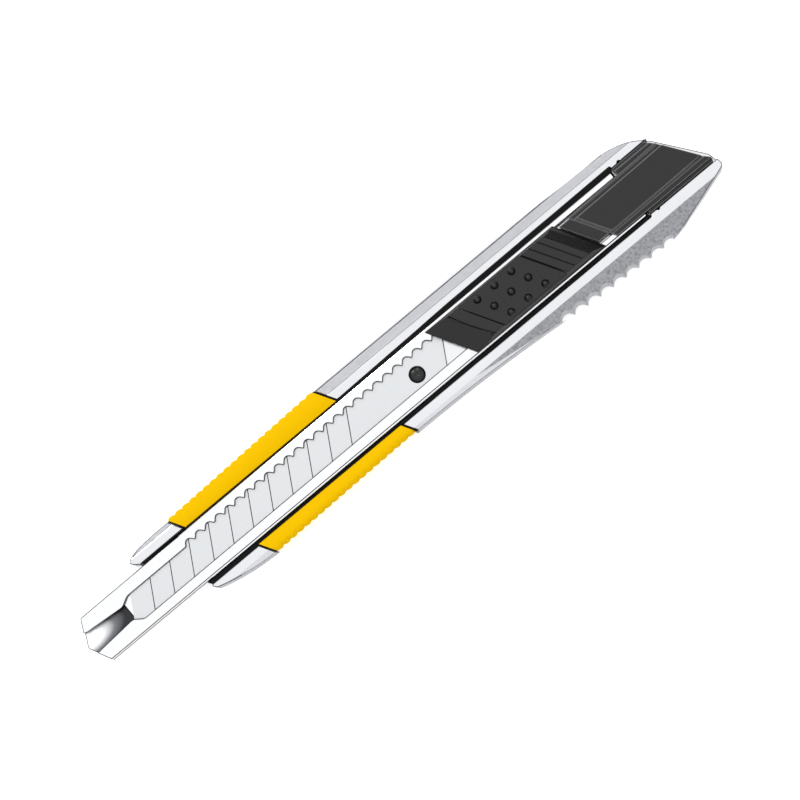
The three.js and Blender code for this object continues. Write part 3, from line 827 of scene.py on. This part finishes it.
# %% Folding the channel
WALL = 5.36
KEEL_WALL = 5.1
SHEET = 0.5
CREASE = -4.66  # a fine crease along the keel-side lip
CHANNEL_REAR = 59.8
OPENING = 1.04  # how much wider the fold is at the rear
THROAT = -66.85
FREE_END = -50  # ahead of this the channel stands free of the handle
strip = [(SHEET - KEEL_WALL, CHANNEL_BASE), (WALL - SHEET, CHANNEL_BASE)]
strip += bend(strip[-1], (WALL, CHANNEL_BASE), (WALL, CHANNEL_BASE + SHEET), 5)
strip.append((WALL, LIPS - 0.3))
strip += bend(strip[-1], (WALL, LIPS), (WALL - 0.3, LIPS), 5)
strip += [(CREASE + 0.09, LIPS), (CREASE, LIPS - 0.1), (CREASE - 0.09, LIPS)]
strip.append((0.2 - KEEL_WALL, LIPS))
strip += bend(strip[-1], (-KEEL_WALL, LIPS), (-KEEL_WALL, LIPS - 0.2), 5)
strip.append((-KEEL_WALL, CHANNEL_BASE + SHEET))
hollow = round_box(SHEET - KEEL_WALL, WALL - SHEET, CHANNEL_BASE + SHEET, LIPS - SHEET, 0.1, steps=3)
nose = route(
    (-74.17, -7),
    (-77.3, -0.8),
    ((NOSE - 0.25, 0), (-77.3, 0.8)),
    (-74.17, 7),
    (CHANNEL_REAR, 7),
    (CHANNEL_REAR, -7),
)
channel = prism(strip, NOSE - 1, CHANNEL_REAR, along="x")
dress(channel, rolled_stainless, sheared_edge_painted_shade_stainless, painted_shade_floor_steel)
for vertex in channel.data.vertices:
    if vertex.co.x > 0:
        vertex.co.y *= OPENING
cut(channel, prism(hollow, NOSE - 2, 62, along="x"), prism(slot, LIPS - 1, LIPS + 1))
keep(channel, prism(nose, 0, 10))
for x in RIVET_PLACES:
    cut(channel, disc(x, 0, 1.75, CHANNEL_BASE - 1, CHANNEL_BASE + 1))
tip_rest = block(THROAT, -63.4, -4.8, 5, CHANNEL_BASE + 0.2, BLADE_LOW - 0.08)
join(channel, tip_rest)


def off_crease(start, end):
    """The crease is too fine to round."""
    return 0 if min(start.z, end.z) > LIPS - 0.15 and -5 < start.y < -4.4 else 1


# Every rounded edge takes the dark sheared finish, which paints shade along the edges.
soften(channel, 0.16, segments=2, edge_finish=1, share=off_crease)
split(channel, (THROAT, 0, 0), (1, 0, 0))
split(channel, (FREE_END, 0, 0), (1, 0, 0))
print("the channel is", round(CHANNEL_REAR - NOSE, 1), "mm long")


# %% Which part of the channel has which finish
def channel_finish(face):
    """0 rolled, 1 dark edge with painted shade, 2 floor with painted shade."""
    x, y, z = face.center
    up = face.normal.z
    # Floor faces ahead of the throat take the painted shade of the floor finish.
    if up > 0.9 and z < LIPS - 1 and x < THROAT and face.material_index == 0:
        return 2
    # The crease and the bends of the free nose get a painted dark reflection.
    crease = -5 < y < -4.4 and 0.2 < up < 0.9
    free_bend = x < FREE_END and 0.05 < up < 0.985 and (y > WALL - 0.3 or y < 0.3 - KEEL_WALL)
    return 1 if crease or free_bend else face.material_index


for face in channel.data.polygons:
    face.material_index = channel_finish(face)
mount(channel, "folded_channel", "blade_channel", "handle")

# %% [markdown]
# ## The blade
#
# A 9 mm snap-off blade is 0.4 mm thick and ground to a bevel along its cutting edge. Score lines 5 mm
# apart lean at 30 degrees, and the blade breaks along them. They are real grooves here, cut with thin
# wedges, and their faces are painted darker, as painted shade in the grooves.

# %% Grinding and scoring the blade
FIRST_SCORE = -61.14
SCORE_PITCH = 5
SCORES = 11
POST_X, POST_Y = 5.76, -0.3


def blade_lean(x, y):
    """The blade's ends and score lines lean the other way from the handle's."""
    return x + RAKE * y


blade_section = [
    (-4.5, BLADE_LOW + 0.18),
    (-3.4, BLADE_LOW),
    (4.5, BLADE_LOW),
    (4.5, BLADE_HIGH),
    (-3.4, BLADE_HIGH),
    (-4.5, BLADE_HIGH - 0.18),
]
blade_front, blade_back = FIRST_SCORE - SCORE_PITCH, 13
blade_plan = [
    (blade_lean(blade_front, -6), -6),
    (blade_lean(blade_back, -6), -6),
    (blade_lean(blade_back, 6), 6),
    (blade_lean(blade_front, 6), 6),
]
blade = dress(prism(blade_section, -90, 40, along="x"), ground_blade_steel, painted_shade_score_steel)
keep(blade, prism(blade_plan, 0, 10))
cut(blade, disc(POST_X, POST_Y, 1.73, 5, 8, sides=64))


def score_wedge(x, half=0.11, depth=0.1):
    """A thin wedge along one score line."""
    top, bottom = BLADE_HIGH + depth, BLADE_HIGH - depth
    corners = [(x - 2 * half, top), (x + 2 * half, top), (x, bottom)]
    return sheared(prism(corners, -6, 6, along="y"), RAKE)


cut(blade, *[score_wedge(FIRST_SCORE + SCORE_PITCH * i) for i in range(SCORES)])
# The tail's square edge gets the same painted shade as the score lines.
cut(blade, score_wedge(blade_back, half=0.2))  # the square edge of the tail
merge_flats(blade)
shade(blade, 12)
# Groove faces get the painted shade finish.
for face in blade.data.polygons:
    scored = abs(face.normal.x) > 0.3 and face.normal.z > 0.2 and face.center.y > -3.5
    face.material_index = 1 if scored else 0
mount(blade, "scored_blade", "blade", "slider")

# %% [markdown]
# ## The blade post
#
# The round pin that carries the blade has a domed top with a small dimple. It is round all over, so
# one profile spun about its axis draws it.

# %% Turning the post
post_low = low_mm("blade_post").z
post_high = high_mm("blade_post").z
post_profile = [(0, post_low), (0.9, post_low), (0.9, post_low + 0.95), (1.68, post_low + 0.95)]
post_profile += bend((1.68, post_high - 0.75), (1.6, post_high - 0.2), (0.6, post_high), 12)
post_profile += bend((0.6, post_high), (0.45, post_high), (0.3, post_high - 0.1), 5)
post_profile.append((0, post_high - 0.1))
post = dress(turned(post_profile, POST_X, POST_Y, 64), black_abs)
shade(post, 40)
mount(post, "blade_pin", "blade_post", "slider")

# %% [markdown]
# ## Yellow elastomer
#
# The grips are moulded in a soft thermoplastic elastomer. It is dyed right through and scatters a
# little light under its skin, so its shadows stay warm. The surface is satin with a fine tooth.

# %% Soft yellow grips
soft_yellow, tree, shader = new_material(
    "soft_yellow_elastomer", Base_Color=linear("#F4C100"), IOR=1.5, Specular_IOR_Level=0.03
)
shader.inputs["Subsurface Weight"].default_value = 0.04
shader.inputs["Subsurface Radius"].default_value = (0.9, 0.5, 0.1)
shader.inputs["Subsurface Scale"].default_value = 0.001
grained(tree, shader, size_mm=0.3, height_mm=0.008, roughness=(0.5, 0.62), detail=2)
print("made", soft_yellow.name)

# %% [markdown]
# Each grip is a skin of cross sections stepped along the knife. The side wall of every section moves
# in and out with the scallops while the top stays flat, so the scallops fade out over the round edge
# as they do on the moulding.

# %% Skinning the grips
GRIP_TOP = high_mm("upper_grip").z
GRIP_BASE = low_mm("upper_grip").z
SCALLOP = 1.8  # length of one scallop
SCALLOP_DEPTH = 0.3
SCALLOP_STEPS = 8


def grip_section(inner, out, bulge):
    """Points (y, z) round one section. Only the outer wall takes the bulge."""
    edge = out - SCALLOP_DEPTH + bulge
    points = [(inner, WING_TOP), (inner, GRIP_TOP - 0.12), (inner + 0.12, GRIP_TOP)]
    points.append((out - 1.3, GRIP_TOP))
    points += bend((out - 1.3, GRIP_TOP), (edge - 0.2, GRIP_TOP - 0.15), (edge, GRIP_TOP - 1.1), 7)
    points += bend((edge, GRIP_TOP - 1.1), (edge - 0.1, GRIP_TOP - 3), (out - 1, GRIP_BASE + 1), 6)
    points += bend((out - 1, GRIP_BASE + 1), (out - 1.2, GRIP_BASE), (out - 1.6, GRIP_BASE), 4)
    points += [(WING_SIDE, GRIP_BASE), (WING_SIDE, WING_TOP)]
    return points


def scalloped_grip(grip, side, front_out, rear_out, inner):
    """A skin of sections. Its outer edge runs from front_out to rear_out."""
    front, rear = grip
    steps = round((rear - front) / SCALLOP) * SCALLOP_STEPS
    bm = bmesh.new()
    rings = []
    for i in range(steps + 1):
        share = i / steps
        out = front_out + (rear_out - front_out) * share
        bulge = SCALLOP_DEPTH * abs(math.sin(math.pi * i / SCALLOP_STEPS)) ** 0.7
        ring = []
        for y, z in grip_section(inner, out, bulge):
            x = leaning(front + (rear - front) * share, side * y)
            ring.append(bm.verts.new((x, side * y, z)))
        rings.append(ring)
    for ring_a, ring_b in zip(rings, rings[1:]):
        bridge(bm, ring_a, ring_b)
    bm.faces.new(rings[0])
    bm.faces.new(rings[-1])
    return object_from(bm)


for name, node, grip, side, outs in (
    ("spine_side_grip", "upper_grip", UPPER_GRIP, 1, (9.38, 10.5)),
    ("keel_side_grip", "lower_grip", LOWER_GRIP, -1, (9.38, 8.75)),
):
    piece = dress(shade(scalloped_grip(grip, side, *outs, GRIP_INNER[side]), 50), soft_yellow)
    mount(piece, name, node, "handle")

# %% [markdown]
# ## The thumb slider
#
# The slider is a moulded block with slanted ends: a long ramp, a ridge, a flat pad with nine bumps,
# and three steps at the back for the thumb. Its side profile is pushed straight across the
# knife and then sheared, which slants every line at once.

# %% Moulding the slider
SLIDER_LOW = LIPS + 0.1
BUMP_RADIUS = 0.84
BUMP_CENTRE = LIPS + 2.5
MIDDLE_BUMP = 30.06
COLUMN_PITCH = 4.3
ROW_PITCH = 3.05
slider_profile = route(
    (14.9, 0.1),
    (47.2, 0.1),
    (47.2, 0.8),
    ((47, 1.3), (46.2, 2)),
    (44.2, 3.4),
    ((43.8, 3.7), (43.3, 3.7)),
    (42.5, 3.7),
    (42.2, 3.4),
    (40.5, 3.4),
    (40.2, 3.1),
    (38.5, 3.1),
    (38.1, 2.6),
    (22.7, 2.6),
    (22.3, 3),
    (20.9, 3),
    ((20.2, 2.95), (19.4, 2.6)),
    (14.9, 0.95),
)
slider_section = route(
    (-4.88, 0.1),
    (4.88, 0.1),
    (4.88, 0.9),
    ((4.7, 1.9), (4.3, 2.6)),
    (4.1, 4.2),
    (-4.1, 4.2),
    (-4.3, 2.6),
    ((-4.7, 1.9), (-4.88, 0.9)),
)


def above_lips(points):
    """The same outline, with heights counted from the lips of the channel."""
    return [(a, LIPS + b) for a, b in points]


slider = dress(sheared(prism(above_lips(slider_profile), -6, 6, along="y"), -RAKE), black_abs)
keep(slider, prism(above_lips(slider_section), 0, 60, along="x"))
soften(slider, 0.16, sharper_than=15)


def thumb_bump(x, y):
    """A ball sunk into the pad, so that a dome shows."""
    bm = bmesh.new()
    bmesh.ops.create_uvsphere(bm, u_segments=32, v_segments=20, radius=BUMP_RADIUS)
    bmesh.ops.translate(bm, verts=bm.verts, vec=(x, y, BUMP_CENTRE))
    return object_from(bm)


for row in (-1, 0, 1):
    for column in (-1, 0, 1):
        y = ROW_PITCH * row
        stack(slider, thumb_bump(leaning(MIDDLE_BUMP + COLUMN_PITCH * column, y), y))
stem_low = high_mm("slide_plate").z + 0.05
stack(slider, block(18, 43.4, -2.4, 2.4, stem_low, LIPS + 0.6))
even_shading(slider)
mount(slider, "moulded_slider", "thumb_slider", "slider")

# %% [markdown]
# ## The end cap
#
# The cap closes the channel and keeps the blades in. It is built up from flat layers that share one
# slanted rear end: flanges that fill the trough, a tongue that enters the channel, a sill over the
# lips and a raised panel with a groove along each side.

# %% Moulding the cap
cap_rear = route((76.5, -5.5), ((76.9, -5), (76.6, -4.6)), (75.5, -3.4), (69.8, 4.8), (68.7, 6.1))


def cap_layer(front, y0, y1, z0, z1):
    """One layer of the cap, from a slanted front edge back to the slanted rear end."""
    plan = [(leaning(front, -7), -7), (76.4, -7), *cap_rear, (68.4, 7), (leaning(front, 7), 7)]
    return keep(prism(plan, z0, z1), block(40, 80, y0, y1, z0 - 1, z1 + 1))


CAP_FLOOR = TROUGH_FLOOR + 0.1
SILL_FRONT = 50.15
PANEL_FRONT = 50.75
cap = keep(cap_layer(52.6, -5.5, 6.1, CAP_FLOOR, RIM + 0.1), block(60.6, 80, -8, 8, 0, 10))
dress(cap, black_abs, painted_highlight_abs)
cut(cap, block(60, 80, 5.35, 8, RIM - 0.15, 9))
sill_top = [(40, -4.8), (90, -4.8), (90, 4.65), (69, 4.5), (40, 4)]
join(cap, keep(prism(sill_top, 0, 12), cap_layer(SILL_FRONT, -7, 7, SLIDER_LOW, LIPS + 0.75)))
join(cap, block(60.6, 68, -4.3, 4.2, CAP_FLOOR + 1, LIPS + 0.5))
join(cap, slanted(47.5, 66, -3.3, 3.85, stem_low, LIPS + 0.3))
panel = [
    (leaning(PANEL_FRONT, -3.4), -3.4),
    (80, -3.15),
    (80, 3.4),
    (leaning(PANEL_FRONT, 3.05), 3.05),
]
groove_low = [(40, -3.85), (90, -3.6), (90, -3.1), (40, -3.45)]
groove_high = [(40, 3), (90, 3.4), (90, 4.2), (40, 3.8)]
cut(cap, prism(groove_low, LIPS + 0.45, 12), prism(groove_high, LIPS + 0.45, 12))
join(cap, keep(prism(panel, LIPS + 0.2, LIPS + 1.1), cap_layer(SILL_FRONT, -4, 4, LIPS, 12)))
cut(cap, slanted(70, 90, -3.6, 4.6, TROUGH_FLOOR + 1.4, TROUGH_FLOOR + 2.2))
# The rounded edges take the painted highlight.
soften(cap, 0.14, edge_finish=1)
mount(cap, "moulded_end_cap", "end_cap", "cap")

# %% [markdown]
# ## Pieces that keep their CAD shape
#
# The slide plate, the lock spring and the rivets are already the right shape. A CAD piece is never
# edited, but modifiers may round what it shows. Each gets welded points, a small bevel and its real
# finish.

# %% Finishing the CAD pieces
EDGE_RADII = {"slide_plate": 0.08, "lock_spring": 0.04, "front_rivet": 0.1, "rear_rivet": 0.1}
for node, radius in EDGE_RADII.items():
    piece = nodes[node]
    weld = piece.modifiers.new("weld", "WELD")
    weld.merge_threshold = 0.000002
    edge = piece.modifiers.new("soft edges", "BEVEL")
    edge.width = radius / 1000
    edge.segments = 2
    edge.limit_method = "ANGLE"
    edge.angle_limit = math.radians(30)
    edge.harden_normals = True
    piece.data.materials.clear()
    piece.data.materials.append(spring_steel)
    print(node, "keeps its shape, with", radius, "mm edges")

# %% [markdown]
# ## Table, light and camera
#
# Bright metal shows the room more than itself. Under an even white sky the flat rims turn white, and
# a darker band near the horizon draws the thin dark lines along every bend and rounded edge. Two small
# soft lamps on the spine side give the bumps of the slider their highlights. The table is a sheet of
# opal acrylic with a weak light of its own, as under a product stand, so shadows stay pale.

# %% Table
HALF = 4  # half the width of the table, in metres from here on
TABLE_TOP = -0.00005
bm = bmesh.new()
corners = ((-HALF, -HALF), (HALF, -HALF), (HALF, HALF), (-HALF, HALF))
bm.faces.new([bm.verts.new((x, y, TABLE_TOP)) for x, y in corners])
table = object_from(bm, "table")
opal_acrylic, tree, shader = new_material(
    "opal_acrylic",
    Base_Color=linear("#F7F7F8"),
    IOR=1.49,
    Emission_Color=(1, 1, 1, 1),
    Emission_Strength=0.5,
)
grained(tree, shader, size_mm=3, height_mm=0.004, roughness=(0.6, 0.75), detail=4)
dress(table, opal_acrylic)
print("the table is", 2 * HALF, "m wide")

# %% Studio sky
world = bpy.data.worlds.new("studio")
bpy.context.scene.world = world
world.use_nodes = True
sky = world.node_tree
backdrop = sky.nodes["Background"]
direction = add(sky, "ShaderNodeTexCoord")
height = add(sky, "ShaderNodeSeparateXYZ", None, Vector=direction.outputs["Generated"])
ramp = add(sky, "ShaderNodeValToRGB", None, Fac=height.outputs["Z"])
ramp.color_ramp.elements[0].position = 0.0
ramp.color_ramp.elements[0].color = linear("#1E1E20")
ramp.color_ramp.elements[1].position = 0.8
ramp.color_ramp.elements[1].color = linear("#FFFFFF")
for position, colour in ((0.25, "#48484A"), (0.5, "#B4B4B6")):
    band = ramp.color_ramp.elements.new(position)
    band.color = linear(colour)
sky.links.new(ramp.outputs["Color"], backdrop.inputs["Color"])
backdrop.inputs["Strength"].default_value = 1.25
print("the sky has", len(ramp.color_ramp.elements), "tones from the horizon up")

# %% Lamps
def soft_lamp(name, place, size, power):
    """A square area lamp that looks at the knife."""
    lamp = bpy.data.lights.new(name, "AREA")
    lamp.size = size
    lamp.energy = power
    holder = bpy.data.objects.new(name, lamp)
    holder.location = place
    holder.rotation_euler = (-Vector(place)).to_track_quat("-Z", "Y").to_euler()
    bpy.context.scene.collection.objects.link(holder)
    print(name, "is", round(Vector(place).length, 2), "m away")


soft_lamp("spine_lamp", (-0.1, 0.4, 0.42), 0.07, 0.6)
soft_lamp("rear_lamp", (0.27, 0.33, 0.4), 0.06, 0.3)

# %% Camera
AXIS_ON_IMAGE = math.radians(39.94)  # the knife climbs to the right
TILT = math.radians(5)  # the camera leans a little towards the keel
LENS = 200
FRAME_WIDTH = 0.15558
AIM_X, AIM_RIGHT, AIM_DOWN = -0.0001, 0.0014, 0.0015  # the middle of the frame, from the frame's origin
outward = Vector((0, -math.sin(TILT), math.cos(TILT)))
sideways = Vector((0, math.cos(TILT), math.sin(TILT)))
c, s = math.cos(AXIS_ON_IMAGE), math.sin(AXIS_ON_IMAGE)
right = Vector((c, 0, 0)) - s * sideways
up = Vector((s, 0, 0)) + c * sideways
aim = Vector((AIM_X, 0, LIPS / 1000)) + AIM_RIGHT * right - AIM_DOWN * up
lens = bpy.data.cameras.new("camera")
lens.lens = LENS
lens.clip_start = 0.05
camera = bpy.data.objects.new("camera", lens)
distance = LENS / lens.sensor_width * FRAME_WIDTH
camera.matrix_world = Matrix.Translation(aim + distance * outward) @ Matrix(
    (
        (right.x, up.x, outward.x, 0),
        (right.y, up.y, outward.y, 0),
        (right.z, up.z, outward.z, 0),
        (0, 0, 0, 1),
    )
)
bpy.context.scene.collection.objects.link(camera)
bpy.context.scene.camera = camera
bpy.context.scene.view_settings.view_transform = "Standard"
print("camera", round(distance, 3), "m away")
